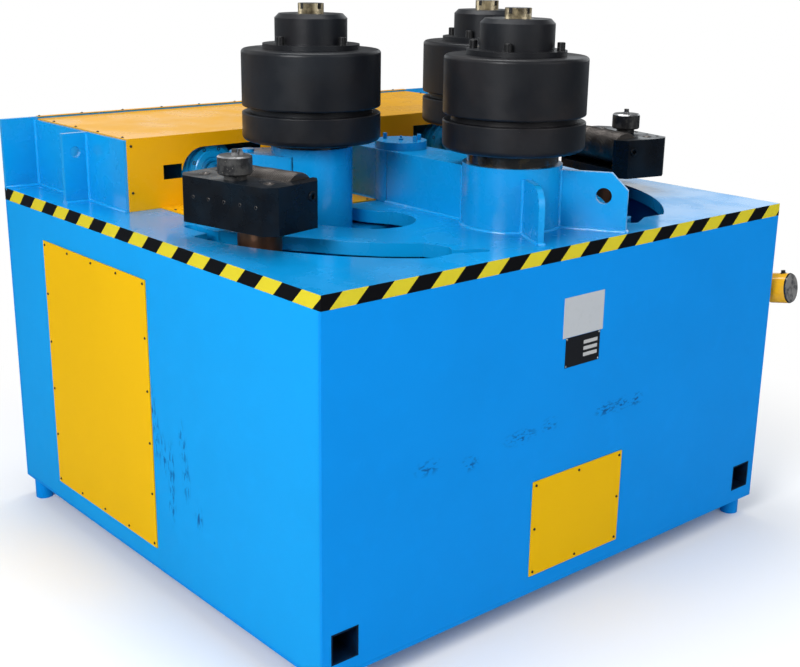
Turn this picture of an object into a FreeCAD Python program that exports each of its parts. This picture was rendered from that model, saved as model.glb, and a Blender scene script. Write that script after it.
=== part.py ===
import FreeCAD, Part
import math
import os

from FreeCAD import Vector

# Three-roll profile bending machine: a hollow steel cabinet carries a thick
# slotted table, one fixed roll at the front and two rolls on arms that swing
# about one pivot post, each pushed by its own cylinder from under a rear cover.
# Sizes are in millimetres. +X runs to the right along the front, +Y runs to
# the back and +Z is up. Heights that end in _up are measured from the table top.

# Cabinet
machine_width = 2100.0
machine_depth = 1946.0
foot_height = 80.0
foot_radius = 33.0
foot_inset_x = 38.0
foot_inset_y = 63.0
wall = 12.0
cabinet_height = 1112.0
table_thickness = 44.0

# Square tubes for lifting forks, open at the front and the back
tube_size = 100.0
tube_wall = 6.0
tube_side_gap = 31.0
tube_lift = 50.0

# Screwed access panels
panel_thickness = 4.0
side_panel_y0 = -57.0
side_panel_length = 724.0
side_panel_lift = 77.0
side_panel_height = 933.0
front_panel_x0 = -207.0
front_panel_width = 437.0
front_panel_lift = 64.0
front_panel_height = 334.0

# Pivot, roll places and swing
pivot_y = -66.0
pivot_pin_radius = 60.0
boss_radius = 97.0
cap_radius = 94.0
cap_height = 28.0
roll_reach = 405.1
roll_rest_angle = 1.1
swing_angle = 33.0
centre_roll_y = -626.0
running_gap = 0.08

# Rolls
roll_radius = 232.0
ring_bottom_up = 249.0
lower_ring_height = 94.0
neck_radius = 205.0
neck_height = 19.0
upper_ring_height = 186.0
ring_bottom_round = 18.0
ring_top_round = 12.0
clamp_radius = 161.0
clamp_height = 17.0
nut_radius = 120.0
nut_height = 96.0
nut_chamfer = 14.0
journal_radius = 80.0
thread_radius = 50.0
stub_radius = 40.0
stub_height = 33.0

# Roll housings
side_housing_radius = 138.0
side_housing_up = 230.0
side_hub_radius = 126.0
centre_housing_radius = 164.0
centre_housing_up = 205.0
centre_hub_radius = 150.0
housing_floor = 14.0
journal_float = 1.0

# Centre frame above the table
spine_half_width = 92.0
spine_up = 185.0
gusset_thickness = 20.0
rib_angle = 241.0
rib_reach = 330.0
rib_up = 175.0
rib_round = 68.0
lug_angle = 302.0
lug_reach = 383.0
lug_up = 190.0
lug_chamfer = 55.0
lug_hole_radius = 26.0
lug_hole_reach = 306.0
lug_hole_up = 114.0

# Swing arms under the table
arm_thickness = 60.0
arm_gap = 10.0
arm_hub_radius = 110.0
arm_margin = 17.0

# Table slots
inner_slot_clearance = 10.0
inner_slot_end_angle = 1.6
slot_corner_radius = 18.0
outer_slot_outer_room = 102.5
outer_slot_inner_room = 97.5
outer_slot_rear_room = 7.5
outer_slot_start = 6.0
outer_slot_flat_end = 32.0
outer_slot_corner = 55.0
outer_slot_end = 60.0
tail_offset = 21.5
tail_width = 44.0
tail_start = -2.0
tail_end = 66.0

# Guide units
post_radius = 69.0
post_reach = 842.5
post_angle = 18.4
block_shift_x = -43.6
block_shift_y = -14.1
block_turn = 11.3
block_length = 400.0
block_width = 236.0
block_height = 143.0
block_chamfer = 34.0
block_up = 60.0
block_floor = 30.0
block_beam_width = 118.0
block_end_plate = 50.0
spindle_radius = 58.0
spindle_rise = 103.0
guide_roller_radius = 52.0
guide_roller_height = 56.0
guide_neck_radius = 34.0
guide_neck_height = 15.0
guide_roller_chamfer = 4.0
guide_stud_radius = 9.0
guide_stud_height = 18.0

# Drive cylinders and their clevises
clevis_x = -565.0
clevis_y = 75.0
clevis_plate = 50.0
clevis_eye_radius = 62.0
lower_clevis_up = 15.0
upper_clevis_up = 155.0
clevis_pin_radius = 22.0
clevis_pin_head = 8.0
cylinder_x = -566.5
cylinder_up = 110.0
rod_radius = 35.0
rod_eye_radius = 58.0
rod_eye_bore = 43.0
rod_eye_height = 60.0
barrel_radius = 86.0
barrel_bore = 70.0
barrel_front_y = 302.0
barrel_rear_gap = 65.0
barrel_end = 30.0
gland_radius = 100.0
gland_length = 46.0
gland_step = 14.0
piston_length = 60.0
piston_inset = 8.0
cradle_width = 150.0
cradle_length = 40.0
cradle_inset = 60.0

# Rear housing and sheet covers
rear_plate_thickness = 16.0
rear_plate_up = 254.0
side_plate_x = 918.0
side_plate_thickness = 20.0
side_plate_y0 = 288.0
cover_sheet = 4.0
cover_up = 247.0
arch_x0 = 367.0
arch_x1 = 699.0
arch_up = 198.0
arch_round = 90.0
notch_width = 73.0
notch_low = 97.0
notch_high = 147.0
rear_lug_y = 550.0
rear_lug_width = 92.0
rear_lug_thickness = 18.0
rear_lug_hole_radius = 19.0
rear_lug_hole_up = 177.0
flat_cover_x = 790.0
flat_cover_y = -45.0
flat_cover_clearance = 12.0

# Round bar on the right side wall
bar_radius = 54.0
bar_length = 280.0
bar_end_x = 1150.0
bar_end_y = -998.0
bar_end_down = 331.0
bar_yaw = 8.0
bar_pitch = 9.0
bar_collar_radius = 57.0
bar_collar_length = 70.0
bar_collar_setback = 6.0
bar_bracket_length = 60.0
bar_bracket_setback = 170.0
bar_bracket_height = 150.0

# Worked-out heights and edges
half_width = machine_width / 2
half_depth = machine_depth / 2
cabinet_bottom = foot_height
table_underside = foot_height + cabinet_height
table_top = table_underside + table_thickness
side_plate_inner_x = side_plate_x - side_plate_thickness
rear_plate_y = half_depth - rear_plate_thickness
ring_bottom = table_top + ring_bottom_up
neck_bottom = ring_bottom + lower_ring_height
upper_ring_bottom = neck_bottom + neck_height
upper_ring_top = upper_ring_bottom + upper_ring_height
nut_top = upper_ring_top + clamp_height + nut_height
barrel_rear_y = rear_plate_y - barrel_rear_gap
outer_slot_radius = post_reach + outer_slot_outer_room
outer_slot_inner_radius = post_reach - outer_slot_inner_room
outer_slot_rear_radius = post_reach - outer_slot_rear_room
tail_radius = post_reach + tail_offset
cylinder_z = table_top + cylinder_up
block_bottom = table_top + block_up
block_top = block_bottom + block_height


def box(x0, x1, y0, y1, z0, z1):
    return Part.makeBox(x1 - x0, y1 - y0, z1 - z0, Vector(x0, y0, z0))


def cylinder(x, y, z0, z1, radius):
    return Part.makeCylinder(radius, z1 - z0, Vector(x, y, z0))


def extrude_outline(points, z0, z1):
    corners = [Vector(x, y, z0) for x, y in points]
    face = Part.Face(Part.makePolygon(corners + corners[:1]))
    return face.extrude(Vector(0, 0, z1 - z0))


def turned(profile, x, y):
    """Turn an outline of (radius, height) points about the vertical through x, y."""
    corners = [Vector(x + radius, y, z) for radius, z in profile]
    face = Part.Face(Part.makePolygon(corners + corners[:1]))
    return face.revolve(Vector(x, y, 0), Vector(0, 0, 1), 360)


def mirrored(shape):
    return shape.mirror(Vector(0, 0, 0), Vector(1, 0, 0))


def polar(radius, angle):
    """A point about the pivot, its angle counted from -X towards the front."""
    turn = math.radians(angle)
    return (-radius * math.cos(turn), pivot_y - radius * math.sin(turn))


def arc_edge(radius, angle0, angle1):
    points = [polar(radius, a) for a in (angle0, (angle0 + angle1) / 2, angle1)]
    return Part.Arc(*[Vector(x, y, 0) for x, y in points]).toShape()


def line_edge(start, end):
    return Part.LineSegment(Vector(*start, 0), Vector(*end, 0)).toShape()


def ring_slot(radius, width, angle0, angle1, z0, z1):
    """An arc-shaped slot with round ends about the pivot."""
    inner = radius - width / 2
    outer = radius + width / 2
    edges = [
        arc_edge(outer, angle0, angle1),
        line_edge(polar(outer, angle1), polar(inner, angle1)),
        arc_edge(inner, angle1, angle0),
        line_edge(polar(inner, angle0), polar(outer, angle0)),
    ]
    body = Part.Face(Part.Wire(edges)).extrude(Vector(0, 0, z1 - z0))
    body.translate(Vector(0, 0, z0))
    for angle in (angle0, angle1):
        body = body.fuse(cylinder(*polar(radius, angle), z0, z1, width / 2))
    return body.removeSplitter()


def vertical_edges(shape):
    return [e for e in shape.Edges if abs(abs(e.tangentAt(e.FirstParameter).z) - 1) < 1e-6]


def rounded_link(points, z0, z1):
    """A plate whose outline wraps the circles (x, y, radius), two by two."""
    plate = None
    for (ax, ay, ar), (bx, by, br) in zip(points, points[1:]):
        distance = math.hypot(bx - ax, by - ay)
        heading = math.atan2(by - ay, bx - ax)
        lean = math.acos((ar - br) / distance)
        outline = []
        for cx, cy, radius, side in ((ax, ay, ar, 1), (bx, by, br, 1), (bx, by, br, -1), (ax, ay, ar, -1)):
            turn = heading + side * lean
            outline.append((cx + radius * math.cos(turn), cy + radius * math.sin(turn)))
        piece = extrude_outline(outline, z0, z1)
        piece = piece.fuse([cylinder(ax, ay, z0, z1, ar), cylinder(bx, by, z0, z1, br)])
        plate = piece if plate is None else plate.fuse(piece)
    return plate.removeSplitter()


# Places that several pieces share, all for the left side
side_roll = polar(roll_reach, roll_rest_angle)
guide_post_place = polar(post_reach, post_angle)
block_place = (guide_post_place[0] + block_shift_x, guide_post_place[1] + block_shift_y)
arm_tops = {
    "left": table_underside - arm_gap,
    "right": table_underside - 2 * arm_gap - arm_thickness,
}


def feet():
    places = [
        (sx * (half_width - foot_inset_x), sy * (half_depth - foot_inset_y))
        for sx in (-1, 1)
        for sy in (-1, 1)
    ]
    return [cylinder(x, y, 0, foot_height, foot_radius) for x, y in places]


def tube_places():
    centre = half_width - tube_side_gap - tube_size / 2
    return [-centre, centre]


def tube_block(x, y0, y1, shrink):
    half = tube_size / 2 - shrink
    middle = cabinet_bottom + tube_lift + tube_size / 2
    return box(x - half, x + half, y0, y1, middle - half, middle + half)


def fork_tubes():
    outers = [tube_block(x, -half_depth, half_depth, 0) for x in tube_places()]
    bores = [tube_block(x, -half_depth, half_depth, tube_wall) for x in tube_places()]
    return [outer.cut(bore) for outer, bore in zip(outers, bores)]


def end_wall(y0, y1):
    sheet = box(-half_width, half_width, y0, y1, cabinet_bottom + wall, table_underside)
    return sheet.cut([tube_block(x, y0, y1, 0) for x in tube_places()])


def side_wall(x0, x1):
    return box(x0, x1, -half_depth + wall, half_depth - wall, cabinet_bottom + wall, table_underside)


def side_panel(x0, x1):
    z0 = cabinet_bottom + side_panel_lift
    y1 = side_panel_y0 + side_panel_length
    return box(x0, x1, side_panel_y0, y1, z0, z0 + side_panel_height)


def front_panel():
    z0 = cabinet_bottom + front_panel_lift
    x1 = front_panel_x0 + front_panel_width
    return box(front_panel_x0, x1, -half_depth - panel_thickness, -half_depth, z0, z0 + front_panel_height)


def inner_slot(z0, z1):
    """The arc slot that the left roll housing travels in."""
    width = 2 * (side_housing_radius + inner_slot_clearance)
    start = roll_rest_angle - inner_slot_end_angle
    end = roll_rest_angle + swing_angle + inner_slot_end_angle
    return ring_slot(roll_reach, width, start, end, z0, z1)


def outer_slot(z0, z1):
    """The crescent that the left guide post travels in, with its narrow tails."""
    outer_start = polar(outer_slot_radius, outer_slot_start)
    outer_corner = polar(outer_slot_radius, outer_slot_corner)
    end_outer = polar(tail_radius + tail_width / 2, outer_slot_end)
    end_inner = polar(tail_radius - 1.5 * tail_width, outer_slot_end)
    inner_corner = polar(outer_slot_inner_radius, outer_slot_corner)
    inner_flat = polar(outer_slot_inner_radius, outer_slot_flat_end)
    rear_corner = polar(outer_slot_rear_radius, outer_slot_start)
    edges = [
        arc_edge(outer_slot_radius, outer_slot_start, outer_slot_corner),
        line_edge(outer_corner, end_outer),
        line_edge(end_outer, end_inner),
        line_edge(end_inner, inner_corner),
        arc_edge(outer_slot_inner_radius, outer_slot_corner, outer_slot_flat_end),
        line_edge(inner_flat, rear_corner),
        line_edge(rear_corner, outer_start),
    ]
    crescent = Part.Face(Part.Wire(edges)).extrude(Vector(0, 0, z1 - z0))
    crescent.translate(Vector(0, 0, z0))
    crescent = crescent.makeFillet(slot_corner_radius, vertical_edges(crescent))
    return crescent.fuse(ring_slot(tail_radius, tail_width, tail_start, tail_end, z0, z1))


def table_plate():
    plate = box(-half_width, half_width, -half_depth, half_depth, table_underside, table_top)
    slots = [inner_slot(table_underside, table_top), outer_slot(table_underside, table_top)]
    slots += [mirrored(slot) for slot in slots]
    pin_hole = cylinder(0, pivot_y, table_underside, table_top, pivot_pin_radius + running_gap)
    return plate.cut(slots + [pin_hole])


def pivot_post():
    """Boss on the table, with the pin of both arms below it and a cap on top."""
    pin_bottom = arm_tops["right"] - arm_thickness - arm_gap
    boss_top = table_top + spine_up
    profile = [
        (0, pin_bottom),
        (pivot_pin_radius, pin_bottom),
        (pivot_pin_radius, table_top),
        (boss_radius, table_top),
        (boss_radius, boss_top),
        (cap_radius, boss_top),
        (cap_radius, boss_top + cap_height),
        (0, boss_top + cap_height),
    ]
    return turned(profile, 0, pivot_y)


def spine(y0, y1):
    block = box(-spine_half_width, spine_half_width, y0, y1, table_top, table_top + spine_up)
    boss = cylinder(0, pivot_y, table_top, table_top + spine_up, boss_radius)
    housing = cylinder(0, centre_roll_y, table_top, table_top + spine_up, centre_housing_radius)
    return block.cut([boss, housing])


def housing(x, y, z0, z1, radius):
    """A roll housing with a blind bore for the journal."""
    body = cylinder(x, y, z0, z1, radius)
    bore = cylinder(x, y, z0 + housing_floor, z1, journal_radius + running_gap)
    return body.cut(bore)


def gusset(angle, outline):
    """An upright plate that runs out from the centre housing at an angle."""
    corners = [Vector(reach, 0, table_top + up) for reach, up in outline]
    face = Part.Face(Part.makePolygon(corners + corners[:1]))
    plate = face.extrude(Vector(0, gusset_thickness, 0))
    plate.translate(Vector(0, -gusset_thickness / 2, 0))
    plate.rotate(Vector(0, 0, 0), Vector(0, 0, 1), angle)
    plate.translate(Vector(0, centre_roll_y, 0))
    core = cylinder(0, centre_roll_y, table_top, table_top + centre_housing_up, centre_housing_radius)
    return plate.cut(core)


def centre_rib():
    """The rib with a rounded outer corner in front of the centre housing."""
    start = centre_housing_radius / 2
    outline = [(start, 0), (rib_reach, 0), (rib_reach, rib_up), (start, rib_up)]
    plate = gusset(rib_angle, outline)
    top = table_top + rib_up
    far = [e for e in plate.Edges if e.BoundBox.ZMin > top - 1 and e.BoundBox.DiagonalLength < gusset_thickness * 1.1]
    outer = min(far, key=lambda e: e.CenterOfMass.y)
    return plate.makeFillet(rib_round, [outer])


def front_lug():
    start = centre_housing_radius / 2
    outline = [
        (start, 0),
        (lug_reach, 0),
        (lug_reach, lug_up - lug_chamfer),
        (lug_reach - lug_chamfer, lug_up),
        (start, lug_up),
    ]
    plate = gusset(lug_angle, outline)
    turn = math.radians(lug_angle)
    along = Vector(math.cos(turn), math.sin(turn), 0)
    across = Vector(-math.sin(turn), math.cos(turn), 0)
    centre = Vector(0, centre_roll_y, table_top + lug_hole_up) + along * lug_hole_reach
    hole = Part.makeCylinder(lug_hole_radius, 2 * gusset_thickness, centre - across * gusset_thickness, across)
    return plate.cut(hole)


def rear_plate():
    return box(-half_width, half_width, rear_plate_y, half_depth, table_top, table_top + rear_plate_up)


def side_plates():
    top = table_top + cover_up - cover_sheet
    left = box(-side_plate_x, -side_plate_inner_x, side_plate_y0, rear_plate_y, table_top, top)
    return [left, mirrored(left)]


def rear_lugs():
    top = table_top + cover_up - cover_sheet
    y1 = rear_lug_y + rear_lug_thickness
    plate = box(-side_plate_x - rear_lug_width, -side_plate_x, rear_lug_y, y1, table_top, top)
    place = Vector(-side_plate_x - rear_lug_width / 2, rear_lug_y, table_top + rear_lug_hole_up)
    left = plate.cut(Part.makeCylinder(rear_lug_hole_radius, rear_lug_thickness, place, Vector(0, 1, 0)))
    return [left, mirrored(left)]


def cylinder_opening(y0, y1):
    """The arched opening and its side notch that the left cylinder looks out of."""
    z0 = table_top
    arch = box(-arch_x1, -arch_x0, y0, y1, z0, z0 + arch_up)
    tops = [
        e for e in arch.Edges
        if e.BoundBox.ZMin > z0 + arch_up - 1 and e.BoundBox.XLength < 1
    ]
    outer = min(tops, key=lambda e: e.CenterOfMass.x)
    arch = arch.makeFillet(arch_round, [outer])
    notch = box(-arch_x1 - notch_width, -arch_x1 + 1, y0, y1, z0 + notch_low, z0 + notch_high)
    return arch.fuse(notch)


def rear_cover():
    """One folded sheet: a top that lies on the side plates and a front with openings."""
    top_z = table_top + cover_up
    edge_x = side_plate_x - side_plate_thickness / 2
    front_y = side_plate_y0 - cover_sheet
    top = box(-edge_x, edge_x, front_y, rear_plate_y, top_z - cover_sheet, top_z)
    front = box(-edge_x, edge_x, front_y, side_plate_y0, table_top, top_z - cover_sheet)
    opening = cylinder_opening(front_y, side_plate_y0)
    spine_gap = box(-spine_half_width, spine_half_width, front_y, side_plate_y0, table_top, table_top + spine_up)
    front = front.cut([opening, mirrored(opening), spine_gap])
    return top.fuse(front)


def table_covers():
    """Flat sheets on the table behind the rolls, cut out round the housings."""
    front_y = side_plate_y0 - cover_sheet
    sheet = box(-flat_cover_x, -boss_radius, flat_cover_y, front_y, table_top, table_top + cover_sheet)
    room = side_housing_radius + flat_cover_clearance
    hole = cylinder(*side_roll, table_top, table_top + cover_sheet, room)
    left = sheet.cut(hole)
    return [left, mirrored(left)]


def along_y(x, z, y0, y1, radius):
    return Part.makeCylinder(radius, y1 - y0, Vector(x, y0, z), Vector(0, 1, 0))


def drive_cylinders():
    """Barrels with a stepped gland, hollow for the rod and its piston."""
    y0 = barrel_front_y
    y1 = barrel_rear_y
    body = along_y(cylinder_x, cylinder_z, y0, y1, barrel_radius)
    gland = along_y(cylinder_x, cylinder_z, y0 + gland_step, y0 + gland_length, gland_radius)
    body = body.fuse(gland).removeSplitter()
    bore = along_y(cylinder_x, cylinder_z, y0 + gland_length, y1 - barrel_end, barrel_bore)
    rod_hole = along_y(cylinder_x, cylinder_z, y0, y0 + gland_length, rod_radius + running_gap)
    left = body.cut([bore, rod_hole])
    return [left, mirrored(left)]


def cradles():
    """Blocks on the table that carry the barrels."""
    half = cradle_width / 2
    blocks = []
    for y0 in (barrel_front_y + gland_length + cradle_inset, barrel_rear_y - 2 * cradle_inset):
        y1 = y0 + cradle_length
        block = box(cylinder_x - half, cylinder_x + half, y0, y1, table_top, cylinder_z)
        blocks.append(block.cut(along_y(cylinder_x, cylinder_z, y0, y1, barrel_radius)))
    return blocks + [mirrored(block) for block in blocks]


def drive_rod():
    """Rod, piston and end eye; the eye is wide of its pin because the arm swings."""
    eye_y = clevis_y
    rear = barrel_rear_y - barrel_end - piston_inset
    rod = along_y(cylinder_x, cylinder_z, eye_y + rod_eye_bore, rear, rod_radius)
    piston = along_y(cylinder_x, cylinder_z, rear - piston_length, rear, barrel_bore - running_gap)
    z0 = cylinder_z - rod_eye_height / 2
    z1 = cylinder_z + rod_eye_height / 2
    eye = cylinder(cylinder_x, eye_y, z0, z1, rod_eye_radius)
    bore = cylinder(cylinder_x, eye_y, cylinder_z - rod_radius, cylinder_z + rod_radius, rod_eye_bore)
    return rod.fuse([piston, eye]).cut(bore).removeSplitter()


def clevis():
    """Two plates from the roll housing to the cylinder pin, and the pin."""
    core = cylinder(*side_roll, table_top, table_top + side_housing_up, side_housing_radius)
    reach = (*side_roll, side_housing_radius)
    eye = (clevis_x, clevis_y, clevis_eye_radius)
    plates = []
    for up in (lower_clevis_up, upper_clevis_up):
        z0 = table_top + up
        plates.append(rounded_link([reach, eye], z0, z0 + clevis_plate).cut(core))
    top = table_top + upper_clevis_up + clevis_plate
    pin = cylinder(clevis_x, clevis_y, table_top + lower_clevis_up, top + clevis_pin_head, clevis_pin_radius)
    return plates[0].fuse([plates[1], pin]).removeSplitter()


def swing_arm(side):
    """The plate under the table that joins the pivot, the housing and the guide post."""
    z1 = arm_tops[side]
    z0 = z1 - arm_thickness
    circles = [
        (0, pivot_y, arm_hub_radius),
        (*side_roll, side_housing_radius + arm_margin),
        (*guide_post_place, post_radius + arm_margin),
    ]
    plate = rounded_link(circles, z0, z1)
    return plate.cut(cylinder(0, pivot_y, z0, z1, pivot_pin_radius + running_gap))


def ring(x, y, z0, z1, radius, bottom_round, top_round):
    """A forming ring with rounded rims and a bore for the journal."""
    body = cylinder(x, y, z0, z1, radius)
    for z, size in ((z0, bottom_round), (z1, top_round)):
        rim = [e for e in body.Edges if abs(e.BoundBox.ZMin - z) < 1e-3 and abs(e.BoundBox.ZMax - z) < 1e-3]
        body = body.makeFillet(size, rim)
    return body.cut(cylinder(x, y, z0, z1, journal_radius))


def lower_ring(x, y):
    disc = ring(x, y, ring_bottom, neck_bottom, roll_radius, ring_bottom_round, ring_top_round / 3)
    neck = cylinder(x, y, neck_bottom, upper_ring_bottom, neck_radius)
    neck = neck.cut(cylinder(x, y, neck_bottom, upper_ring_bottom, journal_radius))
    return disc.fuse(neck).removeSplitter()


def upper_ring(x, y):
    return ring(x, y, upper_ring_bottom, upper_ring_top, roll_radius, ring_top_round / 2, ring_top_round)


def clamp_nut(x, y):
    """The clamping flange and the big round nut above the rings."""
    flange_top = upper_ring_top + clamp_height
    profile = [
        (thread_radius, upper_ring_top),
        (clamp_radius, upper_ring_top),
        (clamp_radius, flange_top),
        (nut_radius, flange_top),
        (nut_radius, nut_top - nut_chamfer),
        (nut_radius - nut_chamfer, nut_top),
        (thread_radius, nut_top),
    ]
    return turned(profile, x, y)


def roll_shaft(x, y, foot, housing_top, hub_radius):
    """The journal in its housing, the hub that carries the rings and the top stub."""
    hub_bottom = housing_top + running_gap
    profile = [
        (0, foot),
        (journal_radius, foot),
        (journal_radius, hub_bottom),
        (hub_radius, hub_bottom),
        (hub_radius, ring_bottom),
        (journal_radius, ring_bottom),
        (journal_radius, upper_ring_top),
        (thread_radius, upper_ring_top),
        (thread_radius, nut_top),
        (stub_radius, nut_top),
        (stub_radius, nut_top + stub_height),
        (0, nut_top + stub_height),
    ]
    return turned(profile, x, y)


def place_block(shape):
    shape.rotate(Vector(0, 0, 0), Vector(0, 0, 1), block_turn)
    shape.translate(Vector(*block_place, block_bottom))
    return shape


def guide_block():
    """The black carrier on the post: a beam, two end plates and a floor."""
    half_w = block_width / 2
    half_l = block_length / 2
    body = box(-half_w, half_w, -half_l, half_l, 0, block_height)
    body = body.makeChamfer(block_chamfer, vertical_edges(body))
    beam_edge = block_beam_width - half_w
    inner_end = half_l - block_end_plate
    trough = box(beam_edge, half_w, -inner_end, inner_end, block_floor, block_height)
    return place_block(body.cut(trough))


def guide_spindle():
    """The threaded spindle that lies in the trough between the end plates."""
    reach = block_length / 2 - block_end_plate
    x = (block_beam_width - block_width / 2) + spindle_radius + 2
    bar = Part.makeCylinder(spindle_radius, 2 * reach, Vector(x, -reach, spindle_rise), Vector(0, 1, 0))
    return place_block(bar)


def guide_roller_place():
    turn = math.radians(block_turn)
    out = block_width / 2 - block_beam_width / 2
    return (block_place[0] - out * math.cos(turn), block_place[1] - out * math.sin(turn))


def guide_roller():
    x, y = guide_roller_place()
    bottom = block_top + running_gap
    shoulder = bottom + guide_neck_height
    top = shoulder + guide_roller_height
    profile = [
        (0, bottom),
        (guide_neck_radius, bottom),
        (guide_neck_radius, shoulder),
        (guide_roller_radius - guide_roller_chamfer, shoulder),
        (guide_roller_radius, shoulder + guide_roller_chamfer),
        (guide_roller_radius, top - guide_roller_chamfer),
        (guide_roller_radius - guide_roller_chamfer, top),
        (guide_stud_radius, top),
        (guide_stud_radius, top + guide_stud_height),
        (0, top + guide_stud_height),
    ]
    return turned(profile, x, y)


def bar_direction():
    yaw = math.radians(bar_yaw)
    pitch = math.radians(bar_pitch)
    level = math.cos(pitch)
    return Vector(math.sin(yaw) * level, -math.cos(yaw) * level, math.sin(pitch))


def bar_end():
    return Vector(bar_end_x, bar_end_y, table_top - bar_end_down)


def side_bar():
    """The round bar with its collar, pointing forward beside the right wall."""
    ahead = bar_direction()
    bar = Part.makeCylinder(bar_radius, bar_length, bar_end() - ahead * bar_length, ahead)
    back = bar_collar_setback + bar_collar_length
    collar = Part.makeCylinder(bar_collar_radius, bar_collar_length, bar_end() - ahead * back, ahead)
    return bar.fuse(collar)


def side_bar_bracket():
    """The block between the right wall and the bar."""
    ahead = bar_direction()
    middle = bar_end() - ahead * bar_bracket_setback
    half = bar_bracket_length / 2
    tall = bar_bracket_height / 2
    block = box(half_width, middle.x, middle.y - half, middle.y + half, middle.z - tall, middle.z + tall)
    bar = Part.makeCylinder(bar_radius, bar_length, bar_end() - ahead * bar_length, ahead)
    solids = block.cut(bar).Solids
    return max(solids, key=lambda s: s.Volume)


def origin_offset():
    """From the cabinet's middle to the middle of the whole outline on the floor."""
    ahead = bar_direction()
    right = bar_end_x + bar_radius * math.sqrt(1 - ahead.x ** 2)
    front = bar_end_y - bar_radius * math.sqrt(1 - ahead.y ** 2)
    left = -half_width - panel_thickness
    return Vector((left + right) / 2, (front + half_depth) / 2, 0)


def frame_pieces():
    rear_spine_end = side_plate_y0
    z = table_top
    right_panel = mirrored(side_panel(-half_width - panel_thickness, -half_width))
    return {
        "feet": feet(),
        "floor_plate": [box(-half_width, half_width, -half_depth, half_depth, cabinet_bottom, cabinet_bottom + wall)],
        "wall_front": [end_wall(-half_depth, -half_depth + wall)],
        "wall_rear": [end_wall(half_depth - wall, half_depth)],
        "wall_left": [side_wall(-half_width, -half_width + wall)],
        "wall_right": [side_wall(half_width - wall, half_width)],
        "fork_tubes": fork_tubes(),
        "table_plate": [table_plate()],
        "panel_left": [side_panel(-half_width - panel_thickness, -half_width)],
        "panel_right": [right_panel],
        "panel_front": [front_panel()],
        "pivot_post": [pivot_post()],
        "centre_spine": [spine(centre_roll_y, pivot_y)],
        "rear_spine": [spine(pivot_y, rear_spine_end)],
        "centre_housing": [housing(0, centre_roll_y, z, z + centre_housing_up, centre_housing_radius)],
        "centre_rib": [centre_rib()],
        "front_lug": [front_lug()],
        "rear_plate": [rear_plate()],
        "side_plates": side_plates(),
        "rear_lugs": rear_lugs(),
        "rear_cover": [rear_cover()],
        "table_covers": table_covers(),
        "drive_cylinders": drive_cylinders(),
        "cylinder_cradles": cradles(),
        "side_bar": [side_bar()],
        "side_bar_bracket": [side_bar_bracket()],
    }


def side_pieces(side):
    """The pieces of one swing unit, drawn on the left and mirrored for the right."""
    foot = arm_tops[side]
    x, y = side_roll
    top = table_top + side_housing_up
    post = cylinder(*guide_post_place, foot, block_bottom, post_radius)
    pieces = {
        "swing_arm": swing_arm(side),
        "roll_housing": housing(x, y, foot, top, side_housing_radius),
        "clevis": clevis(),
        "guide_post": post,
        "guide_block": guide_block(),
        "guide_spindle": guide_spindle(),
        "guide_roller": guide_roller(),
        "drive_rod": drive_rod(),
        "roll_shaft": roll_shaft(x, y, foot + housing_floor + journal_float, top, side_hub_radius),
        "lower_ring": lower_ring(x, y),
        "upper_ring": upper_ring(x, y),
        "clamp_nut": clamp_nut(x, y),
    }
    if side == "right":
        pieces = {name: mirrored(shape) for name, shape in pieces.items()}
    return {name + "_" + side: [shape] for name, shape in pieces.items()}


def centre_roll_pieces():
    x, y = 0, centre_roll_y
    top = table_top + centre_housing_up
    foot = table_top + housing_floor + journal_float
    return {
        "roll_shaft_centre": [roll_shaft(x, y, foot, top, centre_hub_radius)],
        "lower_ring_centre": [lower_ring(x, y)],
        "upper_ring_centre": [upper_ring(x, y)],
        "clamp_nut_centre": [clamp_nut(x, y)],
    }


def write(pieces):
    offset = origin_offset()
    for name, shapes in pieces.items():
        solids = [solid for shape in shapes for solid in shape.Solids]
        shape = solids[0] if len(solids) == 1 else Part.makeCompound(solids)
        shape.translate(offset * -1)
        shape.exportStep("parts/" + name + ".step")


os.makedirs("parts", exist_ok=True)
machine = {**frame_pieces(), **side_pieces("left"), **side_pieces("right"), **centre_roll_pieces()}
write(machine)
print(len(machine), "nodes; origin offset", origin_offset())
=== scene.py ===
import math

import bmesh
import bpy
from bpy.props import EnumProperty, FloatProperty, FloatVectorProperty, IntProperty, PointerProperty
from mathutils import Matrix, Vector


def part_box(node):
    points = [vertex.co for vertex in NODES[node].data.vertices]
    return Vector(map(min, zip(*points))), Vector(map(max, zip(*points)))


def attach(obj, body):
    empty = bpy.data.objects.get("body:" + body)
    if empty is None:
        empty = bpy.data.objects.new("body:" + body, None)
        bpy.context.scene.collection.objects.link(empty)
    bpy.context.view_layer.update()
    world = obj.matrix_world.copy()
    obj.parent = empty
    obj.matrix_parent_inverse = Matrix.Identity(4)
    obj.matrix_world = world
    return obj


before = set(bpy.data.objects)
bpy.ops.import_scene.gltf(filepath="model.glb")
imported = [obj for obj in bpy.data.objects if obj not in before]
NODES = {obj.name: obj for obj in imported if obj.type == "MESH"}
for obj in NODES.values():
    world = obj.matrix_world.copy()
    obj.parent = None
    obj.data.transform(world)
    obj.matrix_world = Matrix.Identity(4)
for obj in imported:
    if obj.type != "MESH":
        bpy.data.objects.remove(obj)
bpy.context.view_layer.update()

bl_info = {
    "name": "Profile Bending Machine Dressing",
    "version": (1, 0, 0),
    "blender": (4, 5, 0),
    "location": "3D View > Sidebar > Bender",
    "description": "Paint, tape, welds, screws and fittings for a three-roll profile bending machine",
    "category": "Object",
}

TABLE_LOW, TABLE_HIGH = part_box("table_plate")
MIDDLE = (TABLE_LOW + TABLE_HIGH) / 2
TABLE_TOP = TABLE_HIGH.z
SIDES = {"left": 1.0, "right": -1.0}
PIVOT_Y = -0.066
UP = Vector((0, 0, 1))


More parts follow.
